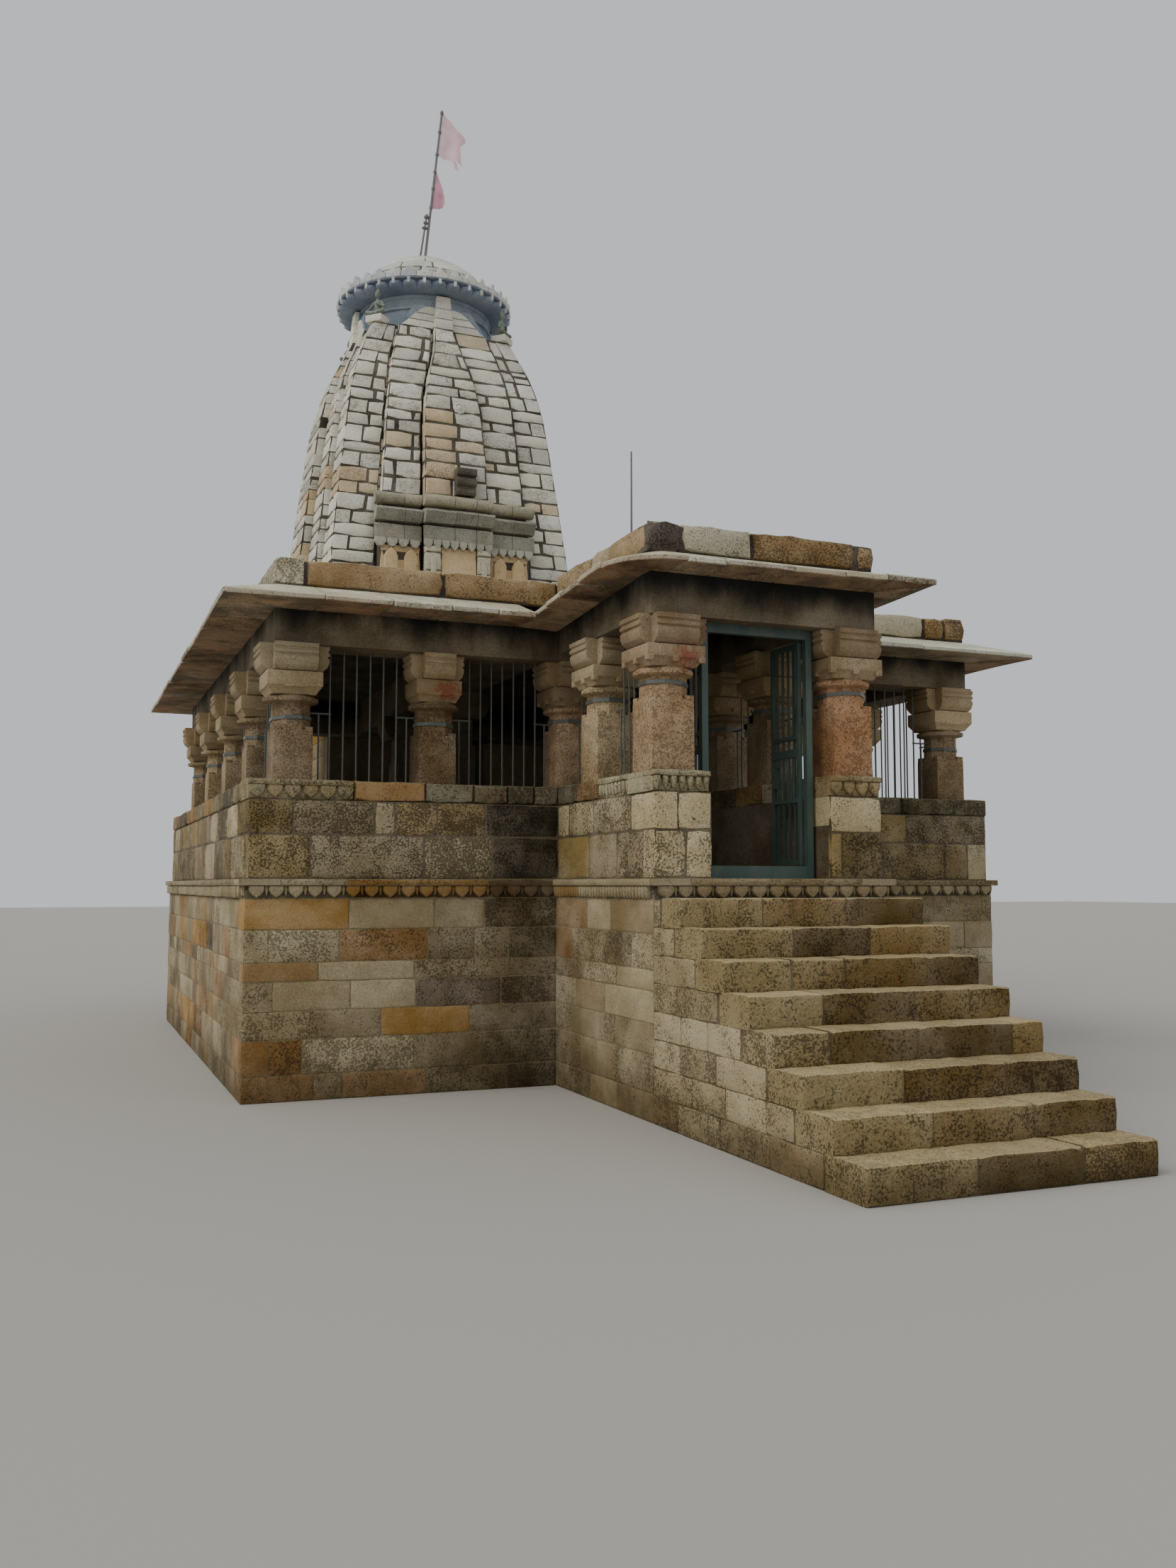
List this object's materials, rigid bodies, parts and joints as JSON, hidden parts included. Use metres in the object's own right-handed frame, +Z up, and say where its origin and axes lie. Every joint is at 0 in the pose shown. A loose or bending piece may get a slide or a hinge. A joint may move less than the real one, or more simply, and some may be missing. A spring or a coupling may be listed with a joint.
{
  "type": "small stone hindu temple with a pillared porch and hall",
  "caption": "Small stone temple on a high plinth, with a stair, a gated pillared porch, an open hall under sloping eaves, and a curved tower with a ribbed disc and flags.",
  "frame": {"origin": "middle of the footprint at ground level, from the foot of the stair to the back of the shrine's plinth", "axes": "+Z up, +X along the front to the right of a person who faces the stair, +Y from the stair towards the shrine"},
  "size_m": [7.34, 14.328, 12.9516],
  "materials": {
    "step_stone": "worn pitted stone, olive brown",
    "plinth_stone": "mixed beige, cream and mauve ashlar, mossy at its foot",
    "frieze_stone": "cream to ochre, carved",
    "wall_stone": "rough pitted ashlar with black lichen",
    "coping_stone": "carved, weathered grey beige",
    "porch_pillar_stone": "pink to terracotta stone, stained",
    "hall_pillar_stone": "beige brown stone",
    "beam_stone": "sooty black green stone",
    "eave_stone": "grey beige slabs, mossy along the top",
    "kerb_stone": "large rough ochre blocks",
    "roof_stone": "weathered grey",
    "tower_stone": "cream grey blocks with wide dark joints",
    "disc_stone": "blue grey, weathered",
    "cap_stone": "pale greenish cream",
    "gate_steel": "worn teal grey paint",
    "pole_metal": "dull and weathered",
    "flag_cloth": "faded pink cotton"
  },
  "bodies": {
    "temple": {"step_1": "step_stone", "step_2": "step_stone", "step_3": "step_stone", "step_4": "step_stone", "step_5": "step_stone", "step_6": "step_stone", "step_7": "step_stone", "step_8": "step_stone", "porch_plinth": "plinth_stone", "hall_plinth": "plinth_stone", "shrine_plinth": "plinth_stone", "floor_course": "frieze_stone", "porch_wall_left": "wall_stone", "porch_wall_right": "wall_stone", "front_wall_left": "wall_stone", "front_wall_right": "wall_stone", "side_wall_left": "wall_stone", "side_wall_right": "wall_stone", "shrine_walls": "wall_stone", "shrine_front_wall": "wall_stone", "coping_left": "coping_stone", "coping_right": "coping_stone", "porch_pillar_front_left": "porch_pillar_stone", "porch_pillar_front_right": "porch_pillar_stone", "porch_pillar_middle_left": "porch_pillar_stone", "porch_pillar_middle_right": "porch_pillar_stone", "junction_pillar_left": "hall_pillar_stone", "junction_pillar_right": "hall_pillar_stone", "front_pillar_left": "hall_pillar_stone", "front_pillar_right": "hall_pillar_stone", "side_colonnade_left": "hall_pillar_stone", "side_colonnade_right": "hall_pillar_stone", "inner_frame_left": "hall_pillar_stone", "inner_frame_right": "hall_pillar_stone", "porch_beams": "beam_stone", "front_beam": "beam_stone", "back_beam": "beam_stone", "porch_eaves": "eave_stone", "hall_eaves_left": "eave_stone", "hall_eaves_right": "eave_stone", "porch_kerb": "kerb_stone", "hall_kerb": "kerb_stone", "porch_roof": "roof_stone", "hall_roof": "roof_stone", "shrine_ceiling": "roof_stone", "tower_foot": "tower_stone", "tower_cornice": "tower_stone", "spire": "tower_stone", "tower_neck": "disc_stone", "ribbed_disc": "disc_stone", "tower_cap": "cap_stone", "gate_frame": "gate_steel", "flag_pole": "pole_metal", "roof_rod": "pole_metal", "flag_upper": "flag_cloth", "flag_lower": "flag_cloth"},
    "gate_leaf_left": {"gate_leaf_left": "gate_steel"},
    "gate_leaf_right": {"gate_leaf_right": "gate_steel"}
  },
  "joints": [
    {"name": "gate_hinge_left", "type": "hinge", "parent": "temple", "child": "gate_leaf_left", "pos_m": [-0.395, -4.394, 2.58], "axis": [0, 0, -1], "range_deg": [0, 90]},
    {"name": "gate_hinge_right", "type": "hinge", "parent": "temple", "child": "gate_leaf_right", "pos_m": [0.395, -4.394, 2.58], "axis": [0, 0, 1], "range_deg": [0, 90]}
  ]
}
